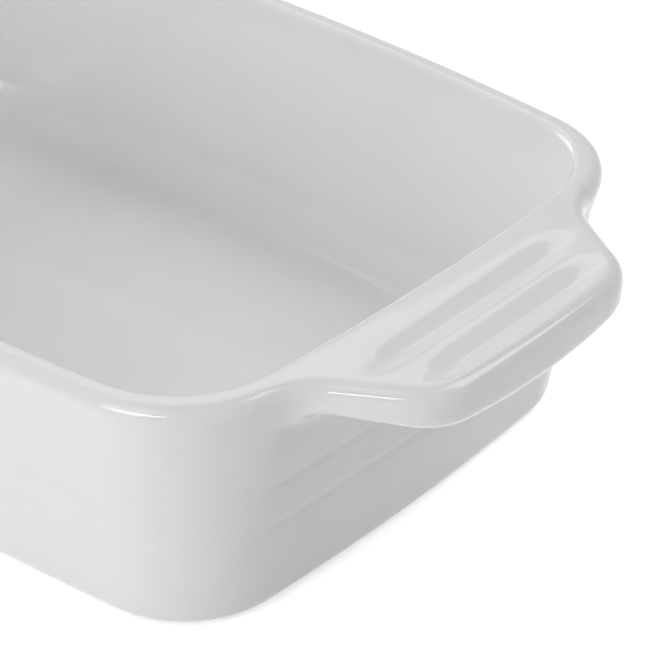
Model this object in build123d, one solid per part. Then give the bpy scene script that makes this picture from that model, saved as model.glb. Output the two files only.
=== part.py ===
from build123d import *
from math import atan2, cos, degrees, radians, sin, tan
import os

# A deep rectangular oven dish in glazed stoneware, with a lug handle at each end.
# The origin is at the middle of the foot, +X runs along the dish and +Z is up.

# Rim, measured outside
rim_length = 330
rim_width = 230
dish_height = 86
rim_corner_radius = 41.4

# The sides bow outwards: half of the angle that each side turns through
long_side_turn = 6.6
short_side_turn = 4.0

# Outer wall at the foot
wall_lean = 12
foot_corner_radius = 35.6
foot_edge_radius = 6.5

# Inside of the dish
rim_thickness = 9
inner_rim_corner_radius = 35
wall_thickness = 8
inner_foot_corner_radius = 30
floor_thickness = 6.5
cove_radius = 20

# Roundings of the rim
rim_outer_radius = 5
rim_inner_radius = 2.5

# Two thin grooves that run round the outer wall
groove_heights = [49.8, 33.8]
groove_width = 2.4
groove_depth = 0.5

# Foot ring
foot_ring_width = 6
foot_recess = 2
foot_recess_radius = 1.5

# Lug handles
handle_reach = 35
handle_thickness = 17.5
handle_arch_radius = 380
handle_bow_radius = 500
handle_grip_width = 62
handle_corner_radius = 22
handle_flare_angle = 31.5
handle_neck_radius = 6
handle_lower_radius = 7

# Two finger valleys across the top of each handle
valley_reaches = [8, 22.6]
valley_lengths = [80, 70]
valley_depth = 1.8
valley_radius = 3.2
valley_lip_radius = 4

# Glaze
glaze_thickness = 0.4
foot_bare_height = 1
foot_bare_setback = 1

# How far a cutting shape runs past what it cuts
overrun = 5


def outline(half_length, half_width, corner_radius, height):
    """Closed plan outline of the dish: four bowed sides and four tangent corner arcs."""
    side_rise = tan(radians(long_side_turn) / 2)
    end_rise = tan(radians(short_side_turn) / 2)
    corner_x = half_length - corner_radius - end_rise * (half_width - corner_radius)
    corner_x = corner_x / (1 - end_rise * side_rise)
    corner_y = half_width - corner_radius - side_rise * corner_x
    side_radius = corner_radius + corner_x / sin(radians(long_side_turn))
    end_radius = corner_radius + corner_y / sin(radians(short_side_turn))
    corner_turn = 90 - long_side_turn - short_side_turn
    end_centre = half_length - end_radius
    side_centre = half_width - side_radius
    arcs = []
    for turn, flip in ((0, 1), (180, -1)):
        end_start = turn - short_side_turn
        right_start = turn + short_side_turn
        side_start = turn + 90 - long_side_turn
        left_start = turn + 90 + long_side_turn
        arcs.append(CenterArc((flip * end_centre, 0), end_radius, end_start, 2 * short_side_turn))
        arcs.append(CenterArc((flip * corner_x, flip * corner_y), corner_radius, right_start, corner_turn))
        arcs.append(CenterArc((0, flip * side_centre), side_radius, side_start, 2 * long_side_turn))
        arcs.append(CenterArc((-flip * corner_x, flip * corner_y), corner_radius, left_start, corner_turn))
    return Pos(0, 0, height) * Wire(arcs)


def lean_share(height):
    """How far down the wall a height lies: 0 at the rim and 1 at the foot."""
    return 1 - height / dish_height


def outer_outline(height, skin):
    """Outline of the outer wall at a height, drawn in by the skin."""
    share = lean_share(height)
    inset = wall_lean * share + skin
    corner = rim_corner_radius + (foot_corner_radius - rim_corner_radius) * share - skin
    return outline(rim_length / 2 - inset, rim_width / 2 - inset, corner, height)


def inner_outline(height, skin):
    """Outline of the inner wall at a height, moved out by the skin."""
    share = lean_share(height)
    inset = rim_thickness + (wall_lean + wall_thickness - rim_thickness) * share - skin
    corner = inner_rim_corner_radius + (inner_foot_corner_radius - inner_rim_corner_radius) * share + skin
    return outline(rim_length / 2 - inset, rim_width / 2 - inset, corner, height)


def wall_block(skin):
    """Solid block inside the outer wall, rounded at the foot."""
    low = outer_outline(skin, skin)
    high = outer_outline(dish_height - skin, skin)
    block = Solid.make_loft([low, high], ruled=True)
    foot_edges = block.edges().group_by(Axis.Z)[0]
    return fillet(foot_edges, foot_edge_radius - skin)


def lug_outline(skin):
    """Plan of one lug, on the +X end: a bowed grip edge, round corners and sides that flare to the rim."""
    bow_centre = rim_length / 2 + handle_reach - handle_bow_radius
    corner_y = handle_grip_width / 2
    corner_reach = handle_bow_radius - handle_corner_radius
    corner_x = bow_centre + (corner_reach**2 - corner_y**2) ** 0.5
    bow_turn = degrees(atan2(corner_y, corner_x - bow_centre))
    side_angle = 90 - handle_flare_angle
    root_x = rim_length / 2 - 2 * rim_thickness
    corner_radius = handle_corner_radius - skin
    side_x = corner_x + corner_radius * cos(radians(side_angle))
    side_y = corner_y + corner_radius * sin(radians(side_angle))
    root_y = side_y + (side_x - root_x) * tan(radians(handle_flare_angle))
    return Wire(
        [
            CenterArc((bow_centre, 0), handle_bow_radius - skin, -bow_turn, 2 * bow_turn),
            CenterArc((corner_x, corner_y), corner_radius, bow_turn, side_angle - bow_turn),
            Line((side_x, side_y), (root_x, root_y)),
            Line((root_x, root_y), (root_x, -root_y)),
            Line((root_x, -root_y), (side_x, -side_y)),
            CenterArc((corner_x, -corner_y), corner_radius, -side_angle, side_angle - bow_turn),
        ]
    )


def lug_plate(skin):
    """Lug on the +X end, arched underneath and still square at its top edge."""
    low = dish_height - handle_thickness
    block = extrude(Pos(0, 0, low) * Face(lug_outline(skin)), handle_thickness - skin)
    arch_middle = Pos(rim_length / 2, 0, low + handle_arch_radius)
    arch = arch_middle * Rot(0, 90, 0) * Cylinder(handle_arch_radius - skin, 2 * handle_arch_radius)
    plate = block & arch
    under = plate.faces().sort_by(Axis.Z)[0]
    lower_edges = under.edges().sort_by(Axis.X)[1:]
    return fillet(lower_edges, handle_lower_radius - skin)


def with_lugs(block, skin):
    """Block with a lug on each end, blended into the wall."""
    plate = lug_plate(skin)
    solid = block
    for turn in (0, 180):
        placed = Rot(0, 0, turn) * plate
        joined = solid + placed
        seams = new_edges(solid, placed, combined=joined)
        solid = fillet(seams, handle_neck_radius + skin)
    return solid


def cavity(skin):
    """The space inside the dish, with the cove round the floor."""
    low = inner_outline(foot_recess + floor_thickness - skin, skin)
    high = inner_outline(dish_height + overrun, skin)
    space = Solid.make_loft([low, high], ruled=True)
    return fillet(space.edges().group_by(Axis.Z)[0], cove_radius + skin)


def rounded_rim(solid, skin):
    """Solid with the rounding all round its outer top edge and the tight one inside the rim."""
    top = solid.faces().sort_by(Axis.Z)[-1]
    solid = fillet(top.outer_wire().edges(), rim_outer_radius - skin)
    top = solid.faces().sort_by(Axis.Z)[-1]
    return fillet(top.inner_wires()[0].edges(), rim_inner_radius - skin)


def valley(reach, length, skin):
    """One finger valley of the +X lug: a round bar with ball ends, to be cut out of the top."""
    radius = valley_radius + skin
    middle = Pos(rim_length / 2 + reach, 0, dish_height + valley_radius - valley_depth)
    half = length / 2 - valley_radius
    bar = middle * Rot(90, 0, 0) * Cylinder(radius, 2 * half)
    for end in (-half, half):
        bar += middle * Pos(0, end, 0) * Sphere(radius)
    return bar


def with_valleys(solid, skin):
    """Solid with the finger valleys sunk into both lugs and their lips rounded."""
    for turn in (0, 180):
        for reach, length in zip(valley_reaches, valley_lengths):
            cutter = Rot(0, 0, turn) * valley(reach, length, skin)
            cut = solid - cutter
            lips = new_edges(solid, cutter, combined=cut).group_by(Axis.Z)[-1]
            solid = fillet(lips, valley_lip_radius - skin)
    return solid


def wall_groove(height, skin):
    """Ring that cuts one shallow groove round the outer wall."""
    radius = ((groove_width / 2) ** 2 + groove_depth**2) / (2 * groove_depth)
    path = outer_outline(height, groove_depth - radius)
    section = Plane(path @ 0, z_dir=path % 0) * Circle(radius + skin)
    return sweep(section, path)


def foot_hollow(skin):
    """The recess under the floor, inside the foot ring."""
    plan = outer_outline(0, foot_edge_radius + foot_ring_width - skin)
    hollow = extrude(Pos(0, 0, -overrun) * Face(plan), overrun + foot_recess + skin)
    return fillet(hollow.edges().group_by(Axis.Z)[-1], foot_recess_radius + skin)


def dish(skin):
    """The whole dish as one solid, drawn in by the skin all over."""
    solid = with_lugs(wall_block(skin), skin)
    solid = solid - cavity(skin)
    solid = rounded_rim(solid, skin)
    solid = with_valleys(solid, skin)
    for height in groove_heights:
        solid = solid - wall_groove(height, skin)
    return solid - foot_hollow(skin)


def bare_foot(skin):
    """The ground ring that the dish stands on, where the clay shows."""
    outer = Face(outer_outline(0, foot_edge_radius + foot_bare_setback))
    inner = Face(outer_outline(0, foot_edge_radius + foot_ring_width - skin))
    return extrude(outer - inner, foot_bare_height)


def bare_zone():
    """The space below the glaze line, where no glaze lies."""
    low_corner = (Align.CENTER, Align.CENTER, Align.MIN)
    return Pos(0, 0, foot_bare_height - overrun) * Box(rim_length, rim_width, overrun, align=low_corner)


body = dish(glaze_thickness) + bare_foot(glaze_thickness)
glaze = dish(0) - body - bare_zone()
glaze_solids = glaze.solids().sort_by(SortBy.VOLUME)

os.makedirs("parts", exist_ok=True)
export_step(body, "parts/stoneware_body.step")
export_step(glaze_solids[-1], "parts/glaze_coat.step")
export_step(glaze_solids[0], "parts/underside_glaze.step")
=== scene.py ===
from math import atan2, cos, pi, radians, sin, tan

import bpy
import numpy as np
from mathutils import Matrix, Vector


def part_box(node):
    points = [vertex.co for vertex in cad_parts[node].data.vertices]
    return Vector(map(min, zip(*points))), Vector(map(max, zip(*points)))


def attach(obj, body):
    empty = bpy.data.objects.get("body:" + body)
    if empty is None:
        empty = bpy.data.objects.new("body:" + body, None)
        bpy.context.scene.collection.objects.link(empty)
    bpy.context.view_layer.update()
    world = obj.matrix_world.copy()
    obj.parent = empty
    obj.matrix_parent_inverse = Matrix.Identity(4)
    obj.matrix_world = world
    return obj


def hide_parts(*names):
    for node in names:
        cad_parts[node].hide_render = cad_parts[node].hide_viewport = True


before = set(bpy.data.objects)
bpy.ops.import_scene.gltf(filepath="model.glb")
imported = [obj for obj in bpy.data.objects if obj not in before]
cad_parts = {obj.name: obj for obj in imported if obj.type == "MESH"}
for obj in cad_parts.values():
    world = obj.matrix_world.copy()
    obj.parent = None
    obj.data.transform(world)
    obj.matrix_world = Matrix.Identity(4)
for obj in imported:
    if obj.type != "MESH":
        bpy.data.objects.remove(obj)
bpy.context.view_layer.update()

# Stoneware body
# The basin, its foot ring and the two lug handles are one casting of pale clay, fired hard.
# Its foot ring is ground flat after firing, so the bare clay shows only there.

dish_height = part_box("glaze_coat")[1].z
rim_half_length = 0.165
rim_half_width = 0.1149
rim_corner_radius = 0.0414
rim_thickness = 0.009
rim_outer_radius = 0.005
rim_inner_radius = 0.0025
end_turn = radians(4.0)
side_turn = radians(6.6)
wall_lean = 0.012
wall_thickness = 0.008
foot_corner_radius = 0.0356
foot_edge_radius = 0.0065
inner_rim_corner_radius = 0.035
inner_foot_corner_radius = 0.030
floor_height = 0.0085
cove_radius = 0.020
lip_hollow_depth = 0.0006
lip_hollow_height = 0.0705
lip_hollow_spread = 0.006
groove_heights = (0.0498, 0.0338)
groove_depth = 0.00028
groove_spread = 0.0017
glaze_thickness = 0.0004
glaze_line = 0.001
foot_recess = 0.002
foot_recess_radius = 0.0015
foot_ring_width = 0.006
foot_bare_setback = 0.001
foot_ring_inset = foot_edge_radius + foot_ring_width
foot_ring_setback = foot_edge_radius + foot_bare_setback

lug_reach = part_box("glaze_coat")[1].x - rim_half_length
lug_thickness = 0.0175
lug_arch_radius = 0.38
lug_bow_radius = 0.5
lug_corner_radius = 0.022
lug_corner_y = 0.031
lug_flare = 31.5
lug_side_facing = radians(90 - lug_flare)
lug_neck_radius = 0.007
lug_lower_radius = 0.007
lug_root_x = rim_half_length - 2 * rim_thickness
lug_bow_centre = rim_half_length + lug_reach - lug_bow_radius
lug_corner_x = lug_bow_centre + ((lug_bow_radius - lug_corner_radius) ** 2 - lug_corner_y**2) ** 0.5
skirt_low = 0.056

valley_reaches = (0.0099, 0.0247)
valley_half_lengths = (0.040, 0.034)
valley_depth = 0.0018
valley_inner_spread = 0.0052
valley_outer_spread = 0.0025
valley_end_spread = 0.003

probe_step = glaze_thickness / 100
settling_rounds = 12
edge_halvings = 40
inside_row_counts = (10, 6, 6)
top_row_counts = (28, 8)
skirt_row_count = 28
groove_row_count = 10
gap_row_count = 3
foot_row_count = 6


def facings(end_count, corner_count, side_count):
    """The direction that the wall faces at each column of points, once round from +X."""
    corner_end = pi / 2 - side_turn
    end = np.linspace(0, end_turn, end_count, endpoint=False)
    corner = np.linspace(end_turn, corner_end, corner_count, endpoint=False)
    side = np.linspace(corner_end, pi / 2, side_count, endpoint=False)
    quarter = np.concatenate([end, corner, side])
    half = np.concatenate([quarter, [pi / 2], pi - quarter[:0:-1]])
    return np.concatenate([half, half + pi])


def outline_arcs(half_length, half_width, corner_radius):
    """Centre of an outline's corner arc, and the radii of its bowed end and side."""
    end_rise = tan(end_turn / 2)
    side_rise = tan(side_turn / 2)
    corner_x = half_length - corner_radius - end_rise * (half_width - corner_radius)
    corner_x = corner_x / (1 - end_rise * side_rise)
    corner_y = half_width - corner_radius - side_rise * corner_x
    end_radius = corner_radius + corner_y / sin(end_turn)
    side_radius = corner_radius + corner_x / sin(side_turn)
    return corner_x, corner_y, end_radius, side_radius


def outline(facing, half_length, half_width, corner_radius):
    """Plan points of a bowed, round-cornered outline, where it faces the given directions."""
    corner_x, corner_y, end_radius, side_radius = outline_arcs(half_length, half_width, corner_radius)
    along, across = np.cos(facing), np.sin(facing)
    on_end = np.abs(across) < sin(end_turn)
    on_side = np.abs(along) < sin(side_turn)
    x = np.sign(along) * corner_x + corner_radius * along
    x = np.where(on_end, np.sign(along) * (half_length - end_radius) + end_radius * along, x)
    x = np.where(on_side, side_radius * along, x)
    y = np.sign(across) * corner_y + corner_radius * across
    y = np.where(on_end, end_radius * across, y)
    y = np.where(on_side, np.sign(across) * (half_width - side_radius) + side_radius * across, y)
    return np.stack([x, y], -1)


def wall_sizes(z):
    """Half length, half width and corner radius of the grooved outer wall at a height."""
    share = 1 - z / dish_height
    relief = lip_hollow_depth * np.exp(-(((z - lip_hollow_height) / lip_hollow_spread) ** 2))
    for height in groove_heights:
        relief = relief + groove_depth * np.exp(-(((z - height) / groove_spread) ** 2))
    inset = wall_lean * share + relief
    corner = rim_corner_radius + (foot_corner_radius - rim_corner_radius) * share - relief
    return rim_half_length - inset, rim_half_width - inset, corner


def inner_sizes(z):
    """The same sizes of the inner wall."""
    share = 1 - z / dish_height
    inset = rim_thickness + (wall_lean + wall_thickness - rim_thickness) * share
    corner = inner_rim_corner_radius + (inner_foot_corner_radius - inner_rim_corner_radius) * share
    return rim_half_length - inset, rim_half_width - inset, corner


def rounded_corner(a, b, radius):
    """Distance outside either of two faces that meet in a rounded edge."""
    a, b = a + radius, b + radius
    return np.minimum(np.maximum(a, b), 0) + np.hypot(np.maximum(a, 0), np.maximum(b, 0)) - radius


def filleted(a, b, radius):
    """Distance outside two solids that are joined by a fillet."""
    hollow = np.hypot(np.maximum(radius - a, 0), np.maximum(radius - b, 0))
    return np.maximum(radius, np.minimum(a, b)) - hollow


def wall_distance(points):
    """How far points lie outside the leaning outer wall."""
    x, y, z = np.abs(points[..., 0]), np.abs(points[..., 1]), points[..., 2]
    half_length, half_width, corner_radius = wall_sizes(z)
    corner_x, corner_y, end_radius, side_radius = outline_arcs(half_length, half_width, corner_radius)
    to_end = np.hypot(x - half_length + end_radius, y) - end_radius
    to_side = np.hypot(x, y - half_width + side_radius) - side_radius
    to_corner = np.hypot(x - corner_x, y - corner_y) - corner_radius
    facing = np.arctan2(y - corner_y, x - corner_x)
    return np.where(facing < end_turn, to_end, np.where(facing > pi / 2 - side_turn, to_side, to_corner))


def lug_distance(points):
    """How far points lie outside a lug: bowed grip, round corners, flared sides, arched underside."""
    x, y, z = np.abs(points[..., 0]), np.abs(points[..., 1]), points[..., 2]
    to_bow = np.hypot(x - lug_bow_centre, y) - lug_bow_radius
    to_corner = np.hypot(x - lug_corner_x, y - lug_corner_y) - lug_corner_radius
    to_side = (x - lug_corner_x) * cos(lug_side_facing) + (y - lug_corner_y) * sin(lug_side_facing)
    facing = np.arctan2(y - lug_corner_y, x - lug_corner_x)
    to_edge = np.where(facing > lug_side_facing, to_side - lug_corner_radius, to_corner)
    to_edge = np.where(facing < atan2(lug_corner_y, lug_corner_x - lug_bow_centre), to_bow, to_edge)
    to_edge = np.maximum(to_edge, lug_root_x - x)
    return rounded_corner(to_edge, lug_underside(y) - z, lug_lower_radius)


def lug_underside(y):
    """Height of the arched underside, which thins the lug towards its sides."""
    return dish_height - lug_thickness + y**2 / (2 * lug_arch_radius)


def side_distance(points):
    """How far points lie outside the wall and the lugs, blended together."""
    return filleted(wall_distance(points), lug_distance(points), lug_neck_radius)


def outer_distance(points):
    """The same, with the flat top and its rounded edge."""
    return rounded_corner(side_distance(points), points[..., 2] - dish_height, rim_outer_radius)


def slope(distance, points):
    """Direction and rate in which a distance grows."""
    steps = np.eye(3) * probe_step
    grown = [distance(points + step) - distance(points - step) for step in steps]
    return np.stack(grown, -1) / (2 * probe_step)


def settled(points):
    """Points moved onto the outer surface."""
    for _ in range(settling_rounds):
        away = slope(outer_distance, points)
        points = points - away * (outer_distance(points) / (away**2).sum(-1))[..., None]
    return points


def lifted(plan, z):
    """Plan points set at their heights."""
    return np.concatenate([plan, np.broadcast_to(z, plan.shape[:-1])[..., None]], -1)


def outward(facing):
    """Plan direction away from the dish at each column."""
    return np.stack([np.cos(facing), np.sin(facing)], -1)


def lean(facing, sizes):
    """Angle by which a wall leans outwards at each column."""
    rise = outline(facing, *sizes(dish_height)) - outline(facing, *sizes(0.0))
    return np.arctan2((rise * outward(facing)).sum(-1), dish_height)


def shares(count, ends=False):
    """Even shares from 0 on for rows of points, with the end at 1 where asked for."""
    return np.linspace(0, 1, count, endpoint=ends)[:, None]


def inside_rows(facing, counts):
    """Cove, inner wall and inner rim rounding, from the floor up."""
    cove_count, wall_count, rim_count = counts
    angle = lean(facing, inner_sizes)
    turn = -pi / 2 + (pi / 2 - angle) * shares(cove_count)
    z = floor_height + cove_radius * (1 + np.sin(turn))
    corner_run = cove_radius / np.tan((pi / 2 + angle) / 2)
    off = cove_radius * np.cos(turn) - corner_run - np.tan(angle) * (z - floor_height)
    cove = lifted(outline(facing, *inner_sizes(z)) + outward(facing) * off[..., None], z)
    floor_edge = cove[:1] - lifted(outward(facing), 0.0) * glaze_thickness
    low = floor_height + cove_radius * (1 - np.sin(angle))
    high = dish_height - rim_inner_radius * (1 - np.sin(angle))
    z = low + (high - low) * shares(wall_count)
    wall = lifted(outline(facing, *inner_sizes(z)), z)
    turn = pi - angle + (angle - pi / 2) * shares(rim_count)
    z = dish_height - rim_inner_radius * (1 - np.sin(turn))
    off = rim_inner_radius * np.cos(turn) + inner_rim_inset(facing) + np.tan(angle) * (dish_height - z)
    rim = lifted(outline(facing, *inner_sizes(z)) + outward(facing) * off[..., None], z)
    return [floor_edge, cove, wall, rim]


def inner_rim_inset(facing):
    """How far outside the inner wall's line the flat top begins."""
    return rim_inner_radius * np.tan(pi / 4 - lean(facing, inner_sizes) / 2)


def edge_points(facing):
    """The widest line round rim and lugs, straight out from each column, and the way that it faces."""
    ray = lifted(outward(facing), 0.0)
    start = lifted(outline(facing, *wall_sizes(dish_height)), dish_height - rim_outer_radius)
    near = np.full(len(facing), -rim_outer_radius)
    far = np.full(len(facing), 2 * lug_reach)
    for _ in range(edge_halvings):
        middle = (near + far) / 2
        is_inside = side_distance(start + ray * middle[:, None]) < 0
        near = np.where(is_inside, middle, near)
        far = np.where(is_inside, far, middle)
    edge = start + ray * near[:, None]
    away = slope(side_distance, edge) * [1, 1, 0]
    return edge, away / np.linalg.norm(away, axis=-1, keepdims=True)


def valleys(points):
    """Depth of the finger valleys in the tops of the lugs."""
    reach, y = np.abs(points[..., 0]) - rim_half_length, np.abs(points[..., 1])
    depth = np.zeros(reach.shape)
    for middle, half_length in zip(valley_reaches, valley_half_lengths):
        spread = np.where(reach < middle, valley_inner_spread, valley_outer_spread)
        fade = 1 / (1 + np.exp((y - half_length) / valley_end_spread))
        depth = depth + valley_depth * fade * np.exp(-(((reach - middle) / spread) ** 2))
    return depth


def top_rows(facing, counts):
    """Flat top of rim and lugs with the finger valleys, and the rounding of its outer edge."""
    flat_count, round_count = counts
    plan = outline(facing, *inner_sizes(dish_height)) + outward(facing) * inner_rim_inset(facing)[:, None]
    inner_edge = lifted(plan, dish_height)
    edge, away = edge_points(facing)
    outer_edge = edge - away * rim_outer_radius + [0, 0, rim_outer_radius]
    flat = inner_edge + (outer_edge - inner_edge) * shares(flat_count)[..., None]
    turn = pi / 2 * (1 - shares(round_count))[..., None]
    rounding = edge + away * rim_outer_radius * (np.cos(turn) - 1) + [0, 0, rim_outer_radius] * np.sin(turn)
    rows = np.concatenate([flat, settled(rounding)])
    rows[..., 2] -= valleys(rows)
    return rows


def skirt_rows(facing, count):
    """From the outer edge down, under the lugs and back to the wall."""
    edge, _ = edge_points(facing)
    under = np.minimum(lug_underside(edge[:, 1]), dish_height - 2 * rim_outer_radius)
    root = lifted(outline(facing, *wall_sizes(under)), under)
    share = np.clip(wall_distance(edge) / lug_lower_radius, 0, 1)[:, None]
    tip = root + (lifted(edge[:, :2], under) - root) * share
    end = lifted(outline(facing, *wall_sizes(skirt_low)), skirt_low)
    corners = np.stack([edge, tip, root, end])
    lengths = np.linalg.norm(np.diff(corners, axis=0), axis=-1)
    reached = np.concatenate([np.zeros((1, len(facing))), np.cumsum(lengths, axis=0)])
    rows = np.empty((count, len(facing), 3))
    for column in range(len(facing)):
        wanted = reached[-1, column] * shares(count)[:, 0]
        for axis in range(3):
            rows[:, column, axis] = np.interp(wanted, reached[:, column], corners[:, column, axis])
    return settled(rows)


def wall_heights(groove_count, gap_count):
    """Heights of the outer wall's rows, close together across each groove."""
    groove_reach = 3 * groove_spread
    heights = []
    high = skirt_low
    for height in groove_heights:
        heights += list(np.linspace(high, height + groove_reach, gap_count, endpoint=False))
        high = height - groove_reach
        heights += list(np.linspace(height + groove_reach, high, groove_count, endpoint=False))
    return np.array(heights + list(np.linspace(high, foot_edge_radius, 2 * gap_count, endpoint=False)))


def foot_rows(facing, count, last_height):
    """The rounding at the foot, down to a height."""
    angle = lean(facing, wall_sizes)
    last_turn = np.arcsin(last_height / foot_edge_radius - 1)
    turn = -angle + (angle + last_turn) * shares(count, ends=True)
    z = foot_edge_radius * (1 + np.sin(turn))
    off = foot_edge_radius * (np.cos(turn) - np.tan(pi / 4 - angle / 2)) - np.tan(angle) * z
    return lifted(outline(facing, *wall_sizes(z)) + outward(facing) * off[..., None], z)


def outer_skin(facing, finish_height):
    """The dish's whole glazed skin in rows, from the edge of the floor over the rim to the foot."""
    heights = wall_heights(groove_row_count, gap_row_count)[:, None]
    rows = inside_rows(facing, inside_row_counts)
    rows += [top_rows(facing, top_row_counts), skirt_rows(facing, skirt_row_count)]
    rows.append(lifted(outline(facing, *wall_sizes(heights)), heights))
    rows.append(foot_rows(facing, foot_row_count, finish_height))
    return np.concatenate(rows)


def facing_of(rows):
    """Direction that a surface of rows and columns faces at each point."""
    down = np.gradient(rows, axis=0)
    round_it = np.roll(rows, -1, axis=1) - np.roll(rows, 1, axis=1)
    normal = np.cross(down, round_it)
    return normal / np.linalg.norm(normal, axis=-1, keepdims=True)


def moved_in(rows, depth):
    """The same rows, set back into the dish."""
    return rows - facing_of(rows) * depth


def foot_outline(facing, inset, z):
    """A row of points under the dish, drawn in from the foot of the wall."""
    half_length = rim_half_length - wall_lean - inset
    half_width = rim_half_width - wall_lean - inset
    return lifted(outline(facing, half_length, half_width, foot_corner_radius - inset), z)[None]


def recess_rows(facing, low, roof, count):
    """The inside of the foot ring, from a low height round the corner to the roof over the recess."""
    turn = pi / 2 * shares(count, ends=True)
    inset = foot_ring_inset + foot_recess_radius * (1 - np.cos(turn))
    z = roof - foot_recess_radius * (1 - np.sin(turn))
    corner = [foot_outline(facing, row_inset, row_z) for row_inset, row_z in zip(inset[:, 0], z[:, 0])]
    last = foot_outline(facing, foot_ring_inset + 2 * foot_recess_radius, roof)
    return np.concatenate([foot_outline(facing, foot_ring_inset, low), *corner, last])


def add_piece(name, rows, is_capped_below, material):
    """Mesh of rows of points round the dish, with a face across the first row and maybe the last."""
    count, columns = rows.shape[:2]
    faces = [tuple(range(columns))]
    for row in range(count - 1):
        for column in range(columns):
            ahead = (column + 1) % columns
            near, far = row * columns, (row + 1) * columns
            faces.append((far + column, far + ahead, near + ahead, near + column))
    if is_capped_below:
        faces.append(tuple(range(count * columns - 1, (count - 1) * columns - 1, -1)))
    mesh = bpy.data.meshes.new(name)
    mesh.from_pydata(rows.reshape(-1, 3).tolist(), [], faces)
    mesh.shade_smooth()
    mesh.materials.append(material)
    piece = bpy.data.objects.new(name, mesh)
    bpy.context.scene.collection.objects.link(piece)
    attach(piece, "root")
    return piece


def shader_group(name, inputs, outputs):
    """Empty node group with named sockets, and its two end nodes."""
    group = bpy.data.node_groups.new(name, "ShaderNodeTree")
    for label, kind, value in inputs:
        group.interface.new_socket(name=label, in_out="INPUT", socket_type=kind).default_value = value
    for label, kind in outputs:
        group.interface.new_socket(name=label, in_out="OUTPUT", socket_type=kind)
    return group, group.nodes.new("NodeGroupInput"), group.nodes.new("NodeGroupOutput")


def linked(tree, kind, inputs, **settings):
    """New node with its settings, and with a value or another node's output on each given input."""
    node = tree.nodes.new(kind)
    for key, value in settings.items():
        setattr(node, key, value)
    for label, value in inputs.items():
        if isinstance(value, bpy.types.NodeSocket):
            tree.links.new(value, node.inputs[label])
        else:
            node.inputs[label].default_value = value
    return node


def principled(name, group, settings):
    """Material whose colour, roughness and normal come from a group."""
    material = bpy.data.materials.new(name)
    material.use_nodes = True
    tree = material.node_tree
    surface = linked(tree, "ShaderNodeGroup", {}, node_tree=group)
    shader = tree.nodes["Principled BSDF"]
    for label, value in settings.items():
        shader.inputs[label].default_value = value
    tree.links.new(surface.outputs["Colour"], shader.inputs["Base Color"])
    tree.links.new(surface.outputs["Roughness"], shader.inputs["Roughness"])
    tree.links.new(surface.outputs["Normal"], shader.inputs["Normal"])
    return material


def ranged(tree, value, old, new):
    """Value moved from an old range to a new one."""
    inputs = {"Value": value, "From Min": old[0], "From Max": old[1], "To Min": new[0], "To Max": new[1]}
    return linked(tree, "ShaderNodeMapRange", inputs).outputs["Result"]


def noise(tree, place, scale, detail):
    """Soft random pattern, finer as the scale grows."""
    inputs = {"Vector": place, "Scale": scale, "Detail": detail}
    return linked(tree, "ShaderNodeTexNoise", inputs).outputs["Fac"]


def shaded(tree, colour, strength):
    """Colour made lighter or darker by a strength."""
    inputs = {0: colour, "Scale": strength}
    return linked(tree, "ShaderNodeVectorMath", inputs, operation="SCALE").outputs["Vector"]


def blended(tree, share, first, second):
    """Colour between two others: the first at a share of 0 and the second at 1."""
    inputs = {"Factor": share, "A": first, "B": second}
    return linked(tree, "ShaderNodeMix", inputs, data_type="RGBA").outputs["Result"]


def bumped(tree, height, distance):
    """Normal of a surface with a fine relief."""
    return linked(tree, "ShaderNodeBump", {"Height": height, "Distance": distance}).outputs["Normal"]


def give_surface(tree, result, colour, roughness, normal):
    """Put colour, roughness and normal on a group's outputs."""
    tree.links.new(colour, result.inputs["Colour"])
    tree.links.new(roughness, result.inputs["Roughness"])
    tree.links.new(normal, result.inputs["Normal"])


vector_socket = "NodeSocketVector"
number_socket = "NodeSocketFloat"
colour_socket = "NodeSocketColor"
surface_outputs = [("Colour", colour_socket), ("Roughness", number_socket), ("Normal", vector_socket)]


def clay_group():
    """Fired clay: warm pale ground with fine grain, sparse iron specks and a dry surface."""
    inputs = [
        ("Clay", colour_socket, (0.80, 0.76, 0.69, 1)),
        ("Speck", colour_socket, (0.38, 0.30, 0.22, 1)),
        ("Grain", number_socket, 0.00006),
    ]
    tree, given, result = shader_group("clay surface", inputs, surface_outputs)
    place = tree.nodes.new("ShaderNodeTexCoord").outputs["Object"]
    grain = noise(tree, place, scale=900.0, detail=6.0)
    patches = noise(tree, place, scale=40.0, detail=3.0)
    specks = linked(tree, "ShaderNodeTexVoronoi", {"Vector": place, "Scale": 260.0}).outputs["Distance"]
    is_speck = ranged(tree, specks, old=(0.10, 0.22), new=(0.7, 0.0))
    toned = shaded(tree, given.outputs["Clay"], ranged(tree, patches, old=(0.3, 0.7), new=(0.9, 1.05)))
    colour = blended(tree, is_speck, toned, given.outputs["Speck"])
    roughness = ranged(tree, grain, old=(0.3, 0.7), new=(0.72, 0.92))
    give_surface(tree, result, colour, roughness, bumped(tree, grain, given.outputs["Grain"]))
    return tree


columns = facings(end_count=18, corner_count=14, side_count=13)
ring_rows = [foot_outline(columns, foot_ring_setback, z) for z in (glaze_line, glaze_thickness / 2)]
ring_rows.append(foot_outline(columns, foot_ring_setback + glaze_thickness / 2, 0.0))
ring_rows.append(foot_outline(columns, foot_ring_inset - glaze_thickness / 2, 0.0))
body_rows = np.concatenate(
    [
        moved_in(outer_skin(columns, glaze_line), glaze_thickness),
        *ring_rows,
        recess_rows(columns, low=glaze_thickness / 2, roof=foot_recess + glaze_thickness, count=5),
    ]
)
bare_clay = principled("bare_stoneware", clay_group(), {"IOR": 1.45})
body = add_piece("clay_body", body_rows, is_capped_below=True, material=bare_clay)
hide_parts("stoneware_body")

# Glaze coat
# One closed skin of white glaze, melted over the clay in a second firing and wiped off the foot ring.
# It lies glassy and even, thins a little over edges and has a few tiny pinholes.

plain_share = 0.993
centimetres_per_metre = 100


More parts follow.
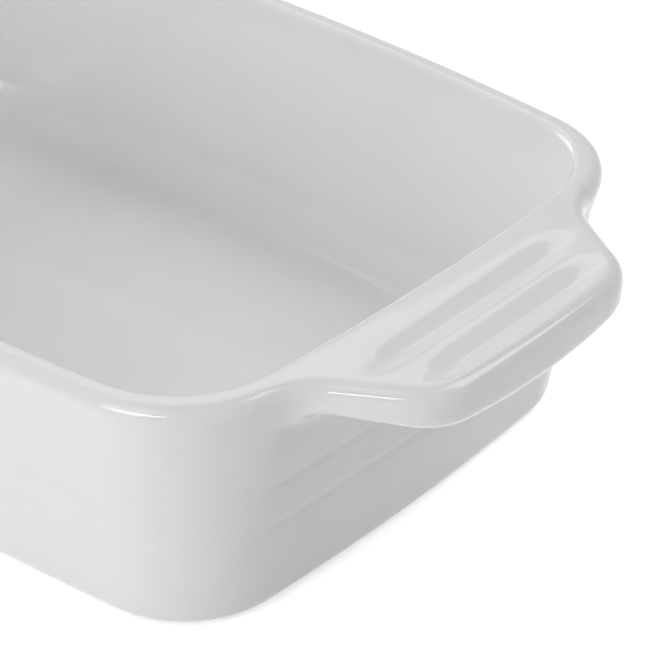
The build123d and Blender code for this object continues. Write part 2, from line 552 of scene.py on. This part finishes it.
def calculated(tree, operation, first, second):
    """Result of one calculation or comparison."""
    return linked(tree, "ShaderNodeMath", {0: first, 1: second}, operation=operation).outputs["Value"]


def glaze_group():
    """White glaze: near-white glass with slow waviness, uneven gloss, thin edges and sparse pinholes."""
    inputs = [
        ("Glaze", colour_socket, (0.80, 0.80, 0.80, 1)),
        ("Thin", colour_socket, (0.785, 0.783, 0.778, 1)),
        ("Pinhole", colour_socket, (0.55, 0.53, 0.50, 1)),
        ("Wave", number_socket, 0.00005),
    ]
    tree, given, result = shader_group("glaze surface", inputs, surface_outputs)
    place = tree.nodes.new("ShaderNodeTexCoord").outputs["Object"]
    relief = linked(tree, "ShaderNodeAttribute", {}, attribute_name="relief").outputs["Fac"]
    slow = noise(tree, place, scale=22.0, detail=2.0)
    waves = noise(tree, place, scale=130.0, detail=1.0)
    cells = linked(tree, "ShaderNodeTexVoronoi", {"Vector": place, "Scale": 130.0})
    lot = linked(tree, "ShaderNodeSeparateColor", {"Color": cells.outputs["Color"]}).outputs["Red"]
    is_centre = ranged(tree, cells.outputs["Distance"], old=(0.03, 0.06), new=(1.0, 0.0))
    is_picked = calculated(tree, "GREATER_THAN", lot, plain_share)
    is_pinhole = calculated(tree, "MULTIPLY", is_centre, is_picked)
    is_thin = ranged(tree, relief, old=(0.3, 2.5), new=(0.0, 0.6))
    coat = blended(tree, is_thin, given.outputs["Glaze"], given.outputs["Thin"])
    toned = shaded(tree, coat, ranged(tree, slow, old=(0.3, 0.7), new=(0.985, 1.01)))
    colour = blended(tree, is_pinhole, toned, given.outputs["Pinhole"])
    roughness = ranged(tree, waves, old=(0.3, 0.7), new=(0.05, 0.09))
    give_surface(tree, result, colour, roughness, bumped(tree, waves, given.outputs["Wave"]))
    return tree


def keep_relief(piece, rows):
    """Mark on the mesh how sharply the skin bends at each point, per centimetre and above 0 on edges."""
    normal = facing_of(rows)
    bend = np.zeros(rows.shape[:2])
    for axis in (0, 1):
        ahead = np.roll(rows, -1, axis) - np.roll(rows, 1, axis)
        turned = np.roll(normal, -1, axis) - np.roll(normal, 1, axis)
        bend += (ahead * turned).sum(-1) / (ahead**2).sum(-1)
    relief = piece.data.attributes.new("relief", "FLOAT", "POINT")
    relief.data.foreach_set("value", (bend / centimetres_per_metre).ravel())


def thickened(piece):
    """Give a skin the glaze's thickness, inwards."""
    skin = piece.modifiers.new("glaze thickness", "SOLIDIFY")
    skin.thickness = glaze_thickness
    skin.offset = -1
    return piece


glaze_columns = facings(end_count=36, corner_count=30, side_count=26)
white_glaze = principled("white_glaze", glaze_group(), {"IOR": 1.5})
skin_rows = outer_skin(glaze_columns, glaze_line)
glaze = thickened(add_piece("white_glaze_coat", skin_rows, is_capped_below=False, material=white_glaze))
keep_relief(glaze, skin_rows)
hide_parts("glaze_coat")

# Glaze under the foot
# The same white glaze lines the shallow recess inside the foot ring. It is melted on with the main skin,
# and the ground bare ring cuts it off from that.

underside_rows = recess_rows(columns, low=glaze_line, roof=foot_recess, count=6)[::-1]
patch = add_piece("underside_glaze_patch", underside_rows, is_capped_below=False, material=white_glaze)
underside = thickened(patch)
underside.data.flip_normals()
keep_relief(underside, underside_rows)
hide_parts("underside_glaze")

# Floor
# A plain pale studio floor. To the camera and in reflections it glows towards white, and it keeps the
# dish's soft shadow.


def white_where_seen(tree):
    """Value that is 1 for what the camera sees, straight, mirrored or through glass, and 0 for the rest."""
    path = tree.nodes.new("ShaderNodeLightPath")
    mirrored = calculated(tree, "MAXIMUM", path.outputs["Is Camera Ray"], path.outputs["Is Glossy Ray"])
    return calculated(tree, "MAXIMUM", mirrored, path.outputs["Is Transmission Ray"])


floor_half_size = 6
floor_mesh = bpy.data.meshes.new("studio_floor")
floor_signs = ((-1, -1), (1, -1), (1, 1), (-1, 1))
floor_corners = [(x * floor_half_size, y * floor_half_size, 0) for x, y in floor_signs]
floor_mesh.from_pydata(floor_corners, [], [(0, 1, 2, 3)])
floor = bpy.data.objects.new("studio_floor", floor_mesh)
bpy.context.scene.collection.objects.link(floor)
floor_paint = bpy.data.materials.new("studio_floor")
floor_paint.use_nodes = True
floor_tree = floor_paint.node_tree
floor_shader = floor_tree.nodes["Principled BSDF"]
floor_shader.inputs["Base Color"].default_value = (0.9, 0.9, 0.9, 1)
floor_shader.inputs["Roughness"].default_value = 0.7
floor_shader.inputs["Emission Color"].default_value = (0.55, 0.55, 0.55, 1)
floor_tree.links.new(white_where_seen(floor_tree), floor_shader.inputs["Emission Strength"])
floor_mesh.materials.append(floor_paint)

# Studio
# A white room of soft light: broad lamps in front, at the far end and behind, and a thin bright strip that
# shows only as sharp glints on rounded edges.

aim = Vector((0.08, 0, dish_height / 2))
lamp_distance = 2.2
softbox_size = 1.2


def add_lamp(name, turn, rise, width, height, power):
    """Area lamp that shines at the dish, from a turn round it and a rise above the floor in degrees."""
    data = bpy.data.lights.new(name, "AREA")
    data.shape = "RECTANGLE"
    data.size = width
    data.size_y = height
    data.energy = power
    lamp = bpy.data.objects.new(name, data)
    level = cos(radians(rise))
    towards = Vector((level * cos(radians(turn)), level * sin(radians(turn)), sin(radians(rise))))
    lamp.location = aim + towards * lamp_distance
    lamp.rotation_euler = towards.to_track_quat("Z", "Y").to_euler()
    bpy.context.scene.collection.objects.link(lamp)
    return lamp


# Turn and rise in degrees, and power in watts
softboxes = {
    "front_softbox": (270, 20, 18.0),
    "high_front_softbox": (270, 50, 6.0),
    "far_end_softbox": (180, 20, 16.0),
    "back_right_softbox": (45, 50, 15.0),
    "back_left_softbox": (135, 50, 4.5),
}
for name, (turn, rise, power) in softboxes.items():
    add_lamp(name, turn, rise, softbox_size, softbox_size, power)
glint_strip = add_lamp("glint_strip", turn=281, rise=21, width=1.5, height=0.12, power=12.0)
glint_strip.visible_diffuse = False

world = bpy.data.worlds.new("studio")
bpy.context.scene.world = world
world.use_nodes = True
world_tree = world.node_tree
surroundings = world_tree.nodes["Background"]
surroundings.inputs["Color"].default_value = (1, 1, 1, 1)
brightness = ranged(world_tree, white_where_seen(world_tree), old=(0.0, 1.0), new=(0.20, 1.0))
world_tree.links.new(brightness, surroundings.inputs["Strength"])

# Camera
# It stands off the dish's near right corner and looks down over the handle.

camera_place = (0.5342, -0.4848, 0.4679)
sight_line = Vector((-0.5559, 0.6372, -0.5338))
camera_data = bpy.data.cameras.new("camera")
camera_data.sensor_width = 36.0
camera_data.lens = 135.9
camera_data.shift_x = 0.0291
camera_data.shift_y = -0.0542
camera = bpy.data.objects.new("camera", camera_data)
camera.location = camera_place
camera.rotation_euler = sight_line.to_track_quat("-Z", "Y").to_euler()
bpy.context.scene.collection.objects.link(camera)
bpy.context.scene.camera = camera

bpy.context.scene.view_settings.view_transform = "Standard"
